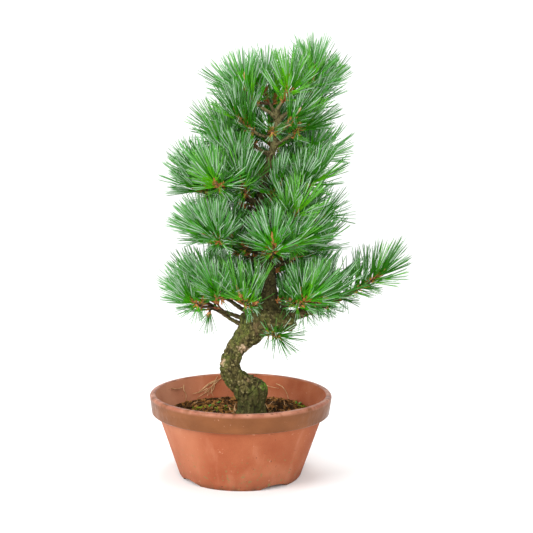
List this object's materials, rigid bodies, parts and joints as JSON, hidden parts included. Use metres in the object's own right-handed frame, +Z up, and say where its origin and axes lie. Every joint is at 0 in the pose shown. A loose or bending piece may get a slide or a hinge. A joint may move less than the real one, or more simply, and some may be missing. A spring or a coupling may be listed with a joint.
{
  "type": "potted japanese white pine",
  "caption": "Small potted white pine with a bent, tapering trunk, spreading boughs and open tufts of needles, standing in a flared earthenware training pot.",
  "frame": {"origin": "centre of the flat underside of the pot's foot", "axes": "+Z up along the plant's height, -Y towards the viewer of the picture, +X to the viewer's right, towards the long low bough"},
  "size_m": [0.2934, 0.2223, 0.5104],
  "materials": {
    "earthenware": "matte",
    "earth": "matte",
    "bark": "matte",
    "needles": "satin"
  },
  "bodies": {
    "root": {"back_left_lower": "needles", "back_left_middle": "needles", "back_lower": "needles", "back_middle": "needles", "back_right_middle": "needles", "bough_back_left_lower": "bark", "bough_back_left_middle": "bark", "bough_back_lower": "bark", "bough_back_middle": "bark", "bough_back_right_middle": "bark", "bough_left_lower": "bark", "bough_left_middle": "bark", "bough_long_right": "bark", "bough_low_back_left": "bark", "bough_low_back_right": "bark", "bough_low_front_left": "bark", "bough_low_front_right": "bark", "bough_low_left": "bark", "bough_low_left_back": "bark", "bough_low_left_under": "bark", "bough_right_back_middle": "bark", "bough_right_front": "bark", "bough_right_low_back": "bark", "bough_right_low_middle": "bark", "bough_right_middle": "bark", "front_left_middle": "needles", "front_lower": "needles", "front_middle": "needles", "left_lower": "needles", "left_middle": "needles", "left_shoulder": "needles", "long_right": "needles", "low_back_left": "needles", "low_back_right": "needles", "low_front_left": "needles", "low_front_right": "needles", "low_left": "needles", "low_left_back": "needles", "low_left_under": "needles", "pot": "earthenware", "right_back_middle": "needles", "right_front": "needles", "right_low_back": "needles", "right_low_middle": "needles", "right_lower": "needles", "right_middle": "needles", "soil": "earth", "top_back": "needles", "top_centre": "needles", "top_left": "needles", "top_right": "needles", "trunk": "bark", "under_right": "needles", "upper_back": "needles", "upper_front": "needles", "upper_left": "needles", "upper_left_back": "needles", "upper_right": "needles", "upper_right_front": "needles", "upper_right_top": "needles"}
  },
  "joints": []
}
